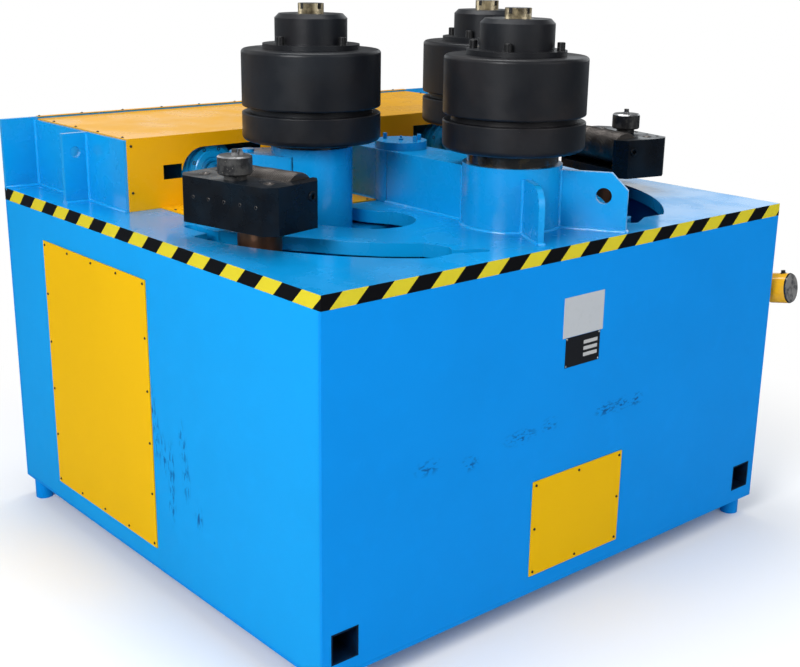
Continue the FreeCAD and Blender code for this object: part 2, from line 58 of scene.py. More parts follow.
def place(x, y, up=0.0):
    """A point given from the middle of the cabinet and from the top of the table."""
    return Vector((MIDDLE.x + x, MIDDLE.y + y, TABLE_TOP + up))


def centre_of(node):
    low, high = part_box(node)
    return (low + high) / 2


def radius_of(node):
    low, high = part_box(node)
    return (high.x - low.x) / 2


def on_circle(centre, radius, degrees, height):
    turn = math.radians(degrees)
    return Vector((centre.x + radius * math.cos(turn), centre.y + radius * math.sin(turn), height))


# Meshes

class Solid:
    """Collects the closed shapes of one piece and the material slot of each face."""

    def __init__(self):
        self.points = []
        self.faces = []
        self.slots = []

    def add(self, points, faces, matrix=None, slot=0):
        start = len(self.points)
        turn = matrix or Matrix()
        self.points += [turn @ Vector(p) for p in points]
        self.faces += [[start + i for i in face] for face in faces]
        self.slots += [slot] * len(faces)

    def turned(self, profile, steps, matrix=None, slot=0):
        """Turn (radius, height) points about local Z; a radius of 0 closes the end."""
        points, rows = [], []
        for radius, height in profile:
            if radius < 1e-9:
                rows.append([len(points)] * steps)
                points.append((0, 0, height))
                continue
            rows.append(list(range(len(points), len(points) + steps)))
            for k in range(steps):
                turn = 2 * math.pi * k / steps
                points.append((radius * math.cos(turn), radius * math.sin(turn), height))
        faces = []
        for low, high in zip(rows, rows[1:]):
            for k in range(steps):
                n = (k + 1) % steps
                face = [low[k], low[n], high[n], high[k]]
                face = [p for i, p in enumerate(face) if p not in face[:i]]
                if len(face) > 2:
                    faces.append(face)
        self.add(points, faces, matrix, slot)

    def slab(self, back, front, slot=0):
        """A thin sheet between two like outlines."""
        n = len(back)
        faces = [list(range(n)), list(range(n, 2 * n))]
        faces += [[i, (i + 1) % n, n + (i + 1) % n, n + i] for i in range(n)]
        self.add(back + front, faces, slot=slot)

    def prism(self, outline, low, high, matrix=None, slot=0):
        n = len(outline)
        points = [(x, y, low) for x, y in outline] + [(x, y, high) for x, y in outline]
        faces = [list(range(n))[::-1], list(range(n, 2 * n))]
        faces += [[i, (i + 1) % n, n + (i + 1) % n, n + i] for i in range(n)]
        self.add(points, faces, matrix, slot)

    def mesh(self, name, materials, crease=35.0):
        mesh = bpy.data.meshes.new(name)
        mesh.from_pydata([tuple(p) for p in self.points], [], self.faces)
        for material in materials:
            mesh.materials.append(material)
        mesh.polygons.foreach_set("material_index", self.slots)
        work = bmesh.new()
        work.from_mesh(mesh)
        bmesh.ops.recalc_face_normals(work, faces=work.faces)
        work.to_mesh(mesh)
        work.free()
        mesh.shade_smooth()
        mesh.set_sharp_from_angle(angle=math.radians(crease))
        return mesh

    def show(self, name, finishes, body, slot):
        """Show the shapes as one piece with the named finishes in its slots."""
        return show(name, self.mesh(name, [made(finish) for finish in finishes.split()]), body)


def show(name, mesh, body):
    piece = bpy.data.objects.new(name, mesh)
    bpy.context.scene.collection.objects.link(piece)
    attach(piece, body)
    return piece


def facing(origin, direction):
    """A matrix whose local Z points along a direction from an origin."""
    z = Vector(direction).normalized()
    helper = UP if abs(z.z) < 0.99 else Vector((0, 1, 0))
    x = helper.cross(z).normalized()
    turn = Matrix((x, z.cross(x), z)).transposed().to_4x4()
    return Matrix.Translation(origin) @ turn


# Node trees

def new_node(tree, kind, inputs=None, **settings):
    """Add a node, make its settings and give values to its inputs."""
    node = tree.nodes.new(kind)
    for name, value in settings.items():
        setattr(node, name, value)
    for key, value in (inputs or {}).items():
        node.inputs[key].default_value = value
    return node


def wire(tree, *links):
    """Link nodes; each link names a source, its output, a target and its input."""
    for source, out, target, into in links:
        tree.links.new(source.outputs[out], target.inputs[into])


TREES = {}


def new_tree(name, inputs):
    """An empty geometry tree with a mesh or curve going in, named sizes and a mesh coming out."""
    tree = bpy.data.node_groups.new(name, "GeometryNodeTree")
    tree.interface.new_socket("Geometry", in_out="INPUT", socket_type="NodeSocketGeometry")
    for label, kind in inputs:
        tree.interface.new_socket(label, in_out="INPUT", socket_type="NodeSocket" + kind)
    tree.interface.new_socket("Finish", in_out="INPUT", socket_type="NodeSocketMaterial")
    tree.interface.new_socket("Geometry", in_out="OUTPUT", socket_type="NodeSocketGeometry")
    return tree, new_node(tree, "NodeGroupInput")


def close_tree(tree, start, last, out):
    """End a tree with real geometry and its material."""
    real = new_node(tree, "GeometryNodeRealizeInstances")
    finish = new_node(tree, "GeometryNodeSetMaterial")
    end = new_node(tree, "NodeGroupOutput")
    wire(tree, (last, out, real, "Geometry"), (real, "Geometry", finish, "Geometry"),
         (start, "Finish", finish, "Material"), (finish, "Geometry", end, "Geometry"))
    return tree


def grow(name, data, maker, values, finish, body):
    """Run a maker's tree on points or curves and show the plain mesh that comes out, as one piece."""
    tree = TREES.get(maker) or TREES.setdefault(maker, maker())
    carrier = bpy.data.objects.new(name + "_carrier", data)
    bpy.context.scene.collection.objects.link(carrier)
    modifier = carrier.modifiers.new(tree.name, "NODES")
    modifier.node_group = tree
    values = dict(values, Finish=made(finish))
    for item in tree.interface.items_tree:
        if item.item_type == "SOCKET" and item.in_out == "INPUT" and item.name in values:
            modifier[item.identifier] = values[item.name]
    graph = bpy.context.evaluated_depsgraph_get()
    graph.update()
    mesh = bpy.data.meshes.new_from_object(carrier.evaluated_get(graph))
    carrier.modifiers.remove(modifier)
    bpy.data.objects.remove(carrier)
    mesh.name = name
    return show(name, mesh, body)


def scatter_tree():
    """Puts one part on every point, turned to the point's facing."""
    tree, start = new_tree("part_on_points", [("Part", "Object")])
    part = new_node(tree, "GeometryNodeObjectInfo")
    way = new_node(tree, "GeometryNodeInputNamedAttribute", {"Name": "facing"}, data_type="FLOAT_VECTOR")
    align = new_node(tree, "FunctionNodeAlignRotationToVector", axis="Z")
    spread = new_node(tree, "GeometryNodeInstanceOnPoints")
    wire(tree, (start, "Part", part, "Object"), (way, "Attribute", align, "Vector"),
         (start, "Geometry", spread, "Points"), (part, "Geometry", spread, "Instance"),
         (align, "Rotation", spread, "Rotation"))
    return close_tree(tree, start, spread, "Instances")


def bead_tree():
    """Sweeps a rippled fillet along every curve."""
    tree, start = new_tree("weld_bead", [("Leg", "Float"), ("Ripple", "Float")])
    circle = new_node(tree, "GeometryNodeCurvePrimitiveCircle", {"Resolution": 8})
    resample = new_node(tree, "GeometryNodeResampleCurve", {"Length": 0.006}, mode="LENGTH")
    sweep = new_node(tree, "GeometryNodeCurveToMesh", {"Fill Caps": True})
    noise = new_node(tree, "ShaderNodeTexNoise", {"Scale": 60.0})
    centred = new_node(tree, "ShaderNodeVectorMath", {1: (0.5, 0.5, 0.5)}, operation="SUBTRACT")
    scale = new_node(tree, "ShaderNodeVectorMath", operation="SCALE")
    move = new_node(tree, "GeometryNodeSetPosition")
    smooth = new_node(tree, "GeometryNodeSetShadeSmooth")
    wire(tree, (start, "Leg", circle, "Radius"), (start, "Geometry", resample, "Curve"),
         (resample, "Curve", sweep, "Curve"), (circle, "Curve", sweep, "Profile Curve"),
         (sweep, "Mesh", move, "Geometry"), (noise, "Color", centred, 0), (centred, "Vector", scale, 0),
         (start, "Ripple", scale, "Scale"), (scale, "Vector", move, "Offset"), (move, "Geometry", smooth, "Geometry"))
    return close_tree(tree, start, smooth, "Geometry")


def thread_tree():
    """A ridge that winds round a bar from the origin, for a screw thread."""
    tree, start = new_tree("thread", [(label, "Float") for label in ("Radius", "Length", "Turns", "Depth")])
    spiral = new_node(tree, "GeometryNodeCurveSpiral", {"Resolution": 40})
    ridge = new_node(tree, "GeometryNodeCurvePrimitiveCircle", {"Resolution": 4})
    sweep = new_node(tree, "GeometryNodeCurveToMesh", {"Fill Caps": True})
    wire(tree, (start, "Turns", spiral, "Rotations"), (start, "Radius", spiral, "Start Radius"),
         (start, "Radius", spiral, "End Radius"), (start, "Length", spiral, "Height"),
         (start, "Depth", ridge, "Radius"), (spiral, "Curve", sweep, "Curve"), (ridge, "Curve", sweep, "Profile Curve"))
    return close_tree(tree, start, sweep, "Mesh")


def scatter(name, spots, part_mesh, finish, body):
    """Put a part on each (position, direction) spot, as one piece."""
    part = bpy.data.objects.new(name + "_part", part_mesh)
    bpy.context.scene.collection.objects.link(part)
    points = bpy.data.meshes.new(name + "_points")
    points.from_pydata([tuple(p) for p, d in spots], [], [])
    attribute = points.attributes.new("facing", "FLOAT_VECTOR", "POINT")
    for i, (p, d) in enumerate(spots):
        attribute.data[i].vector = Vector(d).normalized()
    grow(name, points, scatter_tree, {"Part": part}, finish, body)
    bpy.data.objects.remove(part)


def sweep_beads(name, paths, leg, ripple, body):
    """Lay weld beads along lists of points, as one piece."""
    curve = bpy.data.curves.new(name + "_paths", "CURVE")
    curve.dimensions = "3D"
    for path in paths:
        spline = curve.splines.new("POLY")
        spline.points.add(len(path) - 1)
        for point, p in zip(spline.points, path):
            point.co = (*p, 1.0)
    grow(name, curve, bead_tree, {"Leg": leg, "Ripple": ripple}, "bead_paint", body)


# Finishes

class Finish:
    """Builds one node material step by step, reading Object coordinates."""

    def __init__(self, name, colour, roughness, metallic=0.0, coat=0.0, coat_rough=0.12, level=0.5):
        self.material = bpy.data.materials.new(name)
        self.material.use_nodes = True
        self.tree = self.material.node_tree
        self.link = self.tree.links.new
        self.shader = self.tree.nodes["Principled BSDF"].inputs
        self.base = (*colour, 1.0)
        values = {"Base Color": self.base, "Roughness": roughness, "Metallic": metallic, "Coat Weight": coat,
                  "Coat Roughness": coat_rough, "Specular IOR Level": level}
        for label, value in values.items():
            self.shader[label].default_value = value
        self.colour = self.normal = None
        self.coords = self.node("ShaderNodeTexCoord").outputs["Object"]

    def node(self, kind, inputs=None, **settings):
        return new_node(self.tree, kind, inputs, **settings)

    def noise(self, scale, detail=3.0, stretch=None):
        coords = self.coords
        if stretch:
            mapping = self.node("ShaderNodeMapping", {"Scale": stretch})
            self.link(self.coords, mapping.inputs["Vector"])
            coords = mapping.outputs["Vector"]
        noise = self.node("ShaderNodeTexNoise", {"Scale": scale, "Detail": detail, "Roughness": 0.55})
        self.link(coords, noise.inputs["Vector"])
        return noise.outputs["Fac"]

    def ramp(self, value, low, high, to_low=0.0, to_high=1.0):
        limits = {"From Min": low, "From Max": high, "To Min": to_low, "To Max": to_high}
        node = self.node("ShaderNodeMapRange", limits, interpolation_type="SMOOTHSTEP")
        self.link(value, node.inputs["Value"])
        return node.outputs["Result"]

    def times(self, a, b):
        node = self.node("ShaderNodeMath", operation="MULTIPLY")
        self.link(a, node.inputs[0])
        self.link(b, node.inputs[1])
        return node.outputs[0]

    def stain(self, mask, colour):
        """Mix another colour, or a share of the base colour, over what is there where the mask is 1."""
        if not isinstance(colour, tuple):
            colour = tuple(c * colour for c in self.base[:3])
        mix = self.node("ShaderNodeMix", data_type="RGBA")
        under, over = mix.inputs[6], mix.inputs[7]
        self.link(mask, mix.inputs["Factor"])
        if self.colour is None:
            under.default_value = self.base
        else:
            self.link(self.colour, under)
        over.default_value = (*colour, 1.0)
        self.colour = mix.outputs[2]
        self.link(self.colour, self.shader["Base Color"])

    def mottle(self, scale, colour, low, high, amount, stretch=None):
        self.stain(self.ramp(self.noise(scale, 4.0, stretch), low, high, 0.0, amount), colour)

    def spread(self, scale, low, high):
        """Let roughness wander between two values."""
        self.link(self.ramp(self.noise(scale, 4.0), 0.35, 0.7, low, high), self.shader["Roughness"])

    def bump(self, scale, distance, strength, detail=2.0, stretch=None):
        node = self.node("ShaderNodeBump", {"Strength": strength, "Distance": distance})
        self.link(self.noise(scale, detail, stretch), node.inputs["Height"])
        if self.normal is not None:
            self.link(self.normal, node.inputs["Normal"])
        self.bend(node)

    def soft_edges(self, radius):
        """Round the edges a little, so that they catch light as painted plate does."""
        self.bend(self.node("ShaderNodeBevel", {"Radius": radius}, samples=4))

    def bend(self, node):
        self.normal = node.outputs["Normal"]
        self.link(self.normal, self.shader["Normal"])

    def smudge(self, centre, size, colour, scale, low, high, stretch=None):
        """A broken stain that fades out to the edge of an ellipsoid."""
        mapping = self.node("ShaderNodeMapping", {"Location": centre, "Scale": size}, vector_type="TEXTURE")
        length = self.node("ShaderNodeVectorMath", operation="LENGTH")
        self.link(self.coords, mapping.inputs["Vector"])
        self.link(mapping.outputs["Vector"], length.inputs[0])
        near = self.ramp(length.outputs["Value"], 1.0, 0.0)
        self.stain(self.times(near, self.ramp(self.noise(scale, 6.0, stretch), low, high)), colour)


def bar_axis():
    """The middle of the bar's end face and the way that it points."""
    yaw, pitch = math.radians(8.0), math.radians(9.0)
    ahead = Vector((math.sin(yaw) * math.cos(pitch), -math.cos(yaw) * math.cos(pitch), math.sin(pitch)))
    return place(1.150, -0.998, -0.331), ahead


def bar_bands(finish):
    """A yellow collar and a rough sawn end, split along the bar's axis."""
    end, ahead = bar_axis()
    along = finish.node("ShaderNodeVectorMath", {1: ahead}, operation="DOT_PRODUCT")
    shift = finish.node("ShaderNodeVectorMath", {1: end}, operation="SUBTRACT")
    finish.link(finish.coords, shift.inputs[0])
    finish.link(shift.outputs["Vector"], along.inputs[0])
    back = along.outputs["Value"]
    step, setback, collar = 0.0002, 0.006, 0.07
    near = finish.ramp(back, -setback - step, -setback, 1.0, 0.0)
    far = finish.ramp(back, -setback - collar - step, -setback - collar, 0.0, 1.0)
    finish.mottle(20.0, (0.09, 0.07, 0.05), 0.55, 0.75, 0.6)
    finish.stain(finish.times(near, far), (0.8, 0.4, 0.003))
    face = finish.ramp(back, -0.0012, -0.0004)
    finish.stain(face, (0.2, 0.19, 0.18))
    blotch = finish.ramp(finish.noise(30.0, 5.0), 0.42, 0.62)
    finish.stain(finish.times(face, blotch), (0.07, 0.065, 0.065))


edges, mottle, bump, spread, smudge = Finish.soft_edges, Finish.mottle, Finish.bump, Finish.spread, Finish.smudge
SHEET = ((edges, 0.003), (mottle, 2.3, 0.9, 0.35, 0.75, 0.5), (mottle, 14.0, 1.06, 0.5, 0.8, 0.4),
         (bump, 420.0, 0.0004, 0.25), (bump, 22.0, 0.0012, 0.12), (spread, 6.0, 0.36, 0.48))
TAPE = ((mottle, 20.0, 0.86, 0.5, 0.8, 0.5), (bump, 120.0, 0.0004, 0.2), (bump, 9.0, 0.002, 0.15))
PLATE = ((mottle, 60.0, 0.9, 0.5, 0.8, 0.5), (bump, 300.0, 0.0003, 0.15))
RUBBED = tuple(
    (smudge, place(x, -0.973, up), (wide, 0.05, 0.035), (0.003, 0.06, 0.21), 50.0, 0.48, 0.62, (1.0, 1.0, 2.2))
    for x, up, wide in ((-0.66, -0.587, 0.07), (-0.49, -0.617, 0.05), (-0.27, -0.587, 0.1), (-0.14, -0.577, 0.05),
                        (0.13, -0.587, 0.07), (0.21, -0.587, 0.08), (0.29, -0.587, 0.05)))
STREAKED = tuple(
    (smudge, place(-1.05, y, up), (0.08, 0.032, tall), (0.003, 0.065, 0.23), 90.0, 0.48, 0.6, (1.0, 1.2, 0.3))
    for y, up, tall in ((-0.062, -0.56, 0.09), (-0.08, -0.66, 0.12), (-0.12, -0.72, 0.1), (-0.17, -0.76, 0.14),
                        (-0.165, -0.88, 0.1), (-0.245, -0.64, 0.1), (-0.26, -0.76, 0.11), (-0.33, -0.87, 0.06)))

# Of each finish: its colour or the name of one of BenderLooks, roughness, other settings and steps.
# One number in place of a colour is a share of the finish's own colour.
FINISHES = {
    "wall_paint": ("sheet_blue", 0.45, {"level": 0.04}, SHEET),
    "scuffed_front": ("sheet_blue", 0.45, {"level": 0.04}, SHEET + RUBBED),
    # The left wall's tint makes it lighter and greener than the front: painted light on the lit side, with real streaks
    # of dirt over it.
    "scuffed_left": ("sheet_blue", 0.45, {"level": 0.04, "tint": (4.0, 1.22, 1.0)}, SHEET + STREAKED),
    # Near-black paint in the fork tubes: painted shade standing in for their dark insides.
    "channel_paint": ((0.0, 0.012, 0.04), 0.6, {"level": 0.1}, (
        (mottle, 20.0, (0.002, 0.004, 0.008), 0.4, 0.7, 0.9), (bump, 90.0, 0.001, 0.3))),
    "table_paint": ("gloss_blue", 0.24, {"coat": 0.3, "coat_rough": 0.1}, (
        (edges, 0.003), (mottle, 3.0, 0.86, 0.35, 0.75, 0.7), (mottle, 9.0, (0.03, 0.1, 0.2), 0.62, 0.85, 0.35),
        (mottle, 160.0, (0.02, 0.04, 0.08), 0.74, 0.8, 0.5), (bump, 30.0, 0.0016, 0.16), (spread, 7.0, 0.16, 0.34))),
    "casting_paint": ("gloss_blue", 0.3, {"coat": 0.15, "level": 0.35}, (
        (edges, 0.003), (mottle, 5.0, 0.88, 0.35, 0.75, 0.7), (mottle, 70.0, 0.6, 0.68, 0.8, 0.35),
        (bump, 90.0, 0.001, 0.2), (bump, 18.0, 0.0015, 0.2), (spread, 9.0, 0.2, 0.36))),
    # Beads lighter than the table's enamel and flecked with pale blue: painted highlight where light catches the beads.
    "bead_paint": ("gloss_blue", 0.2, {"coat": 0.6, "tint": (1.15, 1.15, 1.15)}, (
        (mottle, 40.0, (0.25, 0.5, 0.8), 0.62, 0.8, 0.55), (bump, 220.0, 0.002, 0.5))),
    "panel_paint": ("panel_yellow", 0.45, {"level": 0.04}, (
        (edges, 0.0015), (mottle, 2.0, 0.93, 0.35, 0.75, 0.6), (mottle, 90.0, 0.8, 0.72, 0.8, 0.3),
        (bump, 500.0, 0.0003, 0.25))),
    "cover_paint": ("cover_yellow", 0.34, {"coat": 0.04, "level": 0.16}, (
        (edges, 0.0025), (mottle, 2.6, 0.9, 0.35, 0.75, 0.7), (mottle, 120.0, (0.2, 0.12, 0.02), 0.75, 0.8, 0.5),
        (bump, 10.0, 0.002, 0.12), (bump, 400.0, 0.0003, 0.2), (spread, 5.0, 0.24, 0.4))),
    "roll_steel": ("roll_black", 0.42, {"level": 0.26}, (
        (edges, 0.0025), (mottle, 6.0, (0.02, 0.0145, 0.0125), 0.42, 0.75, 0.6),
        (mottle, 3.0, (0.007, 0.012, 0.018), 0.45, 0.7, 0.5),
        (mottle, 90.0, (0.12, 0.11, 0.1), 0.74, 0.8, 0.5, (1, 1, 2.5)),
        (mottle, 30.0, (0.005, 0.005, 0.006), 0.6, 0.75, 0.5, (1, 1, 4.0)),
        (bump, 10.0, 0.0006, 0.3, 3.0, (0.2, 0.2, 60.0)), (bump, 200.0, 0.0004, 0.2), (spread, 8.0, 0.34, 0.52))),
    "block_paint": ("block_black", 0.34, {"level": 0.24}, (
        (edges, 0.0025), (mottle, 8.0, (0.003, 0.008, 0.014), 0.4, 0.7, 0.8),
        (mottle, 60.0, (0.16, 0.14, 0.12), 0.74, 0.82, 0.6), (bump, 150.0, 0.0006, 0.25), (spread, 12.0, 0.22, 0.42))),
    "rusty_steel": ((0.11, 0.062, 0.035), 0.45, {"metallic": 0.5}, (
        (mottle, 12.0, (0.035, 0.024, 0.018), 0.35, 0.65, 0.9),
        (mottle, 45.0, (0.3, 0.22, 0.14), 0.62, 0.8, 0.7, (1, 1, 3.0)),
        (mottle, 25.0, (0.25, 0.09, 0.03), 0.6, 0.75, 0.6), (bump, 80.0, 0.001, 0.4), (spread, 20.0, 0.3, 0.65))),
    "greasy_steel": ((0.02, 0.018, 0.016), 0.22, {"metallic": 0.3, "coat": 0.5}, (
        (mottle, 22.0, (0.07, 0.05, 0.025), 0.5, 0.7, 0.9), (mottle, 60.0, (0.35, 0.3, 0.22), 0.7, 0.8, 0.7),
        (bump, 45.0, 0.003, 0.6))),
    "spindle_steel": ((0.05, 0.045, 0.042), 0.4, {"metallic": 0.7}, (
        (mottle, 25.0, (0.02, 0.018, 0.017), 0.4, 0.65, 0.9), (mottle, 70.0, (0.3, 0.25, 0.2), 0.68, 0.8, 0.5),
        (bump, 120.0, 0.0006, 0.4))),
    "knurled_steel": ((0.09, 0.088, 0.085), 0.42, {"metallic": 0.6}, (
        (mottle, 30.0, (0.02, 0.02, 0.022), 0.4, 0.6, 0.9), (mottle, 60.0, (0.5, 0.47, 0.42), 0.66, 0.76, 0.7),
        (bump, 200.0, 0.0005, 0.3))),
    "brass_steel": ((0.42, 0.36, 0.24), 0.36, {"metallic": 0.8}, (
        (mottle, 25.0, (0.1, 0.08, 0.05), 0.42, 0.6, 0.85), (mottle, 50.0, (0.75, 0.7, 0.6), 0.62, 0.75, 0.7),
        (bump, 150.0, 0.0008, 0.4))),
    "rod_chrome": ((0.72, 0.73, 0.75), 0.12, {"metallic": 1.0}, (
        (mottle, 30.0, (0.45, 0.45, 0.46), 0.55, 0.75, 0.5), (bump, 200.0, 0.0002, 0.1))),
    "screw_black": ((0.012, 0.012, 0.013), 0.35, {"metallic": 0.4}, (
        (mottle, 200.0, (0.06, 0.055, 0.05), 0.6, 0.75, 0.6),)),
    "bright_steel": ((0.55, 0.55, 0.56), 0.3, {"metallic": 1.0}, (
        (mottle, 90.0, (0.25, 0.24, 0.23), 0.5, 0.7, 0.8),)),
    "tape_black": ((0.003, 0.003, 0.004), 0.4, {"level": 0.12}, TAPE),
    "tape_yellow": ((0.56, 0.47, 0.018), 0.4, {"level": 0.12}, TAPE),
    "plate_grey": ((0.42, 0.44, 0.46), 0.5, {}, PLATE),
    "plate_black": ((0.006, 0.006, 0.008), 0.3, {}, PLATE),
    "plate_pale": ((0.4, 0.4, 0.4), 0.45, {}, PLATE),
    "bar_paint": ((0.012, 0.012, 0.013), 0.2, {"coat": 0.6}, ((bar_bands,), (bump, 60.0, 0.001, 0.3))),
}


def made(name):
    """The named material, built when it is first asked for."""
    if name in bpy.data.materials:
        return bpy.data.materials[name]
    colour, roughness, settings, steps = FINISHES[name]
    if isinstance(colour, str):
        colour = getattr(bpy.context.scene.bender_looks, colour)
    settings = dict(settings)
    # A tint scales the colour channel by channel; it paints light into the colour of the lit left wall and of the
    # bright weld beads.
    tint = settings.pop("tint", (1.0, 1.0, 1.0))
    finish = Finish(name, [c * share for c, share in zip(colour, tint)], roughness, **settings)
    for step, *values in steps:
        step(finish, *values)
    return finish.material


def both(names):
    """Each name with the left and the right side."""
    return " ".join(name + side for name in names.split() for side in SIDES)


PAINTED = {
    "wall_paint": "wall_right wall_rear floor_plate feet",
    "scuffed_front": "wall_front",
    "scuffed_left": "wall_left",
    "table_paint": "table_plate rear_plate side_plates rear_lugs",
    "casting_paint": "pivot_post centre_spine rear_spine centre_housing centre_rib front_lug drive_cylinders "
                     "cylinder_cradles " + both("roll_housing_ clevis_ swing_arm_"),
    "channel_paint": "fork_tubes",
    "panel_paint": "panel_left panel_right panel_front",
    "cover_paint": "rear_cover table_covers",
    "roll_steel": "lower_ring_centre upper_ring_centre clamp_nut_centre " + both("lower_ring_ upper_ring_ clamp_nut_"),
    "block_paint": "side_bar_bracket " + both("guide_block_"),
    "rusty_steel": both("guide_post_"),
    "greasy_steel": "roll_shaft_centre " + both("roll_shaft_"),
    "spindle_steel": both("guide_spindle_"),
    "knurled_steel": both("guide_roller_"),
    "rod_chrome": both("drive_rod_"),
    "bar_paint": "side_bar",
}


# Sizes and colours that a user would change

def colour_of(name, description, value):
    return FloatVectorProperty(name=name, description=description, subtype="COLOR", size=3, min=0.0, max=1.0,
                               default=value)


def length_of(name, description, value):
    return FloatProperty(name=name, description=description, unit="LENGTH", default=value)


def angle_of(name, description, degrees):
    return FloatProperty(name=name, description=description, subtype="ANGLE", default=math.radians(degrees))


class BenderLooks(bpy.types.PropertyGroup):
    """Paint and steel colours of the machine"""
    sheet_blue: colour_of("Sheet blue", "Paint of the cabinet walls", (0.001, 0.22, 0.64))
    gloss_blue: colour_of("Gloss blue", "Enamel of the table and what stands on it", (0.002, 0.27, 0.63))
    panel_yellow: colour_of("Panel yellow", "Paint of the screwed panels", (0.67, 0.385, 0.001))
    cover_yellow: colour_of("Cover yellow", "Paint of the rear cover", (0.74, 0.36, 0.001))
    roll_black: colour_of("Roll black", "Blackened steel of the rolls", (0.0062, 0.0068, 0.009))
    block_black: colour_of("Block black", "Paint of the guide blocks", (0.003, 0.004, 0.006))


class BenderSizes(bpy.types.PropertyGroup):
    """Sizes of the small parts that are added to the machine"""
    screw_head: length_of("Screw head", "Diameter of the panel screw heads", 0.0095)
    panel_inset: length_of("Panel inset", "Screws' distance from a panel's edges", 0.014)
    cap_screw: length_of("Cap screw", "Diameter of the screws on the rolls' flanges", 0.026)
    bead_leg: length_of("Weld bead", "Radius of the weld beads", 0.008)
    stripe_pitch: length_of("Stripe pitch", "Distance from one yellow stripe to the next", 0.1785)
    stripe_lean: length_of("Stripe lean", "How far a stripe leans over the tape's width", 0.045)
    thread_pitch: length_of("Thread pitch", "Pitch of the guide spindles' thread", 0.008)
    knurls: IntProperty(name="Knurls", description="Ridges round each guide roller", default=72)


class BenderStage(bpy.types.PropertyGroup):
    """Camera and light"""
    lens: FloatProperty(name="Lens", description="Focal length on a 36 mm sensor", default=55.52)
    camera_x: length_of("Camera X", "From the middle of the cabinet", -2.9116)
    camera_y: length_of("Camera Y", "From the middle of the cabinet", -3.4367)
    camera_height: length_of("Camera height", "Above the floor", 2.0732)
    azimuth: angle_of("Azimuth", "Turn of the view from +Y towards +X", 40.91)
    tilt: angle_of("Tilt", "Downward tilt of the view", 16.91)
    roll: angle_of("Roll", "Lean of the camera", 0.82)
    key_power: FloatProperty(name="Key light", description="Power of the main soft box in watts", default=318.0)
    sky: FloatProperty(name="Sky", description="Strength of the light from all round", default=0.5)


# Small parts

def socket_head(radius, height, bore, depth):
    """A cap screw standing on Z = 0 with a round socket."""
    part = Solid()
    edge = radius * 0.12
    profile = [(0, 0), (radius, 0), (radius, height - edge), (radius - edge, height), (bore, height),
               (bore * 0.92, height - depth), (0, height - depth)]
    part.turned(profile, 18)
    return part.mesh("socket_head", [])


def button_head(radius):
    part = Solid()
    profile = [(0, 0), (radius, 0), (radius * 0.95, radius * 0.3), (radius * 0.7, radius * 0.62),
               (radius * 0.42, radius * 0.72), (radius * 0.36, radius * 0.35), (0, radius * 0.35)]
    part.turned(profile, 14)
    return part.mesh("button_head", [])


def frame_spots(low, high, columns, rows):
    """Evenly spread spots round the edge of a rectangle, as (across, up) pairs."""
    spots = set()
    for i in range(columns):
        for j in range(rows):
            if i in (0, columns - 1) or j in (0, rows - 1):
                across = low[0] + (high[0] - low[0]) * i / (columns - 1)
                up = low[1] + (high[1] - low[1]) * j / (rows - 1)
                spots.add((round(across, 6), round(up, 6)))
    return sorted(spots)


class BENDER_OT_paint(bpy.types.Operator):
    """Give every part of the frame its own finish"""
    bl_idname = "bender.paint"
    bl_label = "Paint and Steel"

    def execute(self, context):
        for finish, nodes in PAINTED.items():
            for node in nodes.split():
                NODES[node].data.materials.clear()
                NODES[node].data.materials.append(made(finish))
        return {"FINISHED"}


class BENDER_OT_screws(bpy.types.Operator):
    """Screw the panels and covers down"""
    bl_idname = "bender.screws"
    bl_label = "Panel and Cover Screws"

    def execute(self, context):
        sizes = context.scene.bender_sizes
        inset = sizes.panel_inset
        spots = []
        for node, end, sign in (("panel_left", 0, -1), ("panel_right", 1, 1)):
            low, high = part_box(node)
            x = (low, high)[end].x
            corners = ((low.y + inset, low.z + inset), (high.y - inset, high.z - inset))
            spots += [((x, y, z), (sign, 0, 0)) for y, z in frame_spots(*corners, 5, 6)]
        low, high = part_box("panel_front")
        corners = ((low.x + inset, low.z + inset), (high.x - inset, high.z - inset))
        spots += [((x, low.y, z), (0, -1, 0)) for x, z in frame_spots(*corners, 3, 3)]
        spots += self.cover_spots()
        self.rear_lip()
        scatter("panel_screws", spots, button_head(sizes.screw_head / 2), "screw_black", "frame")
        return {"FINISHED"}

    def rear_lip(self):
        """The cover's sheet runs on over the top edge of the rear plate."""
        low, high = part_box("rear_plate")
        left, right = (corner.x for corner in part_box("rear_cover"))
        front, back = low.y - 0.004, high.y - 0.0005
        lip = Solid()
        lip.prism([(left, front), (right, front), (right, back), (left, back)], high.z, high.z + 0.0018)
        lip.show("cover_rear_lip", "cover_paint", "frame", "yellow_paint")

    def cover_spots(self):
        low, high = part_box("rear_cover")
        top, front = high.z, low.y
        edge, pitch = 0.009, 0.1735
        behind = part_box("rear_plate")[1]
        spots = [((MIDDLE.x - 0.899 + pitch * k, behind.y - 0.01, behind.z + 0.0015), (0, 0, 1)) for k in range(11)]
        for x, lean in ((low.x + edge, -1), (high.x - edge, 1)):
            spots += [((x, MIDDLE.y + y, top), (0, 0, 1)) for y in (0.328, 0.503, 0.668, 0.841)]
            spots += [((x - lean * 0.006, front, TABLE_TOP + up), (0, -1, 0)) for up in (0.064, 0.222)]
        low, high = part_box("table_covers")
        for side in (-1, 1):
            for x, y in ((0.775, 0.21), (0.775, -0.03), (0.125, -0.03), (0.125, 0.21)):
                spots.append(((MIDDLE.x + side * x, MIDDLE.y + y, high.z), (0, 0, 1)))
        return spots


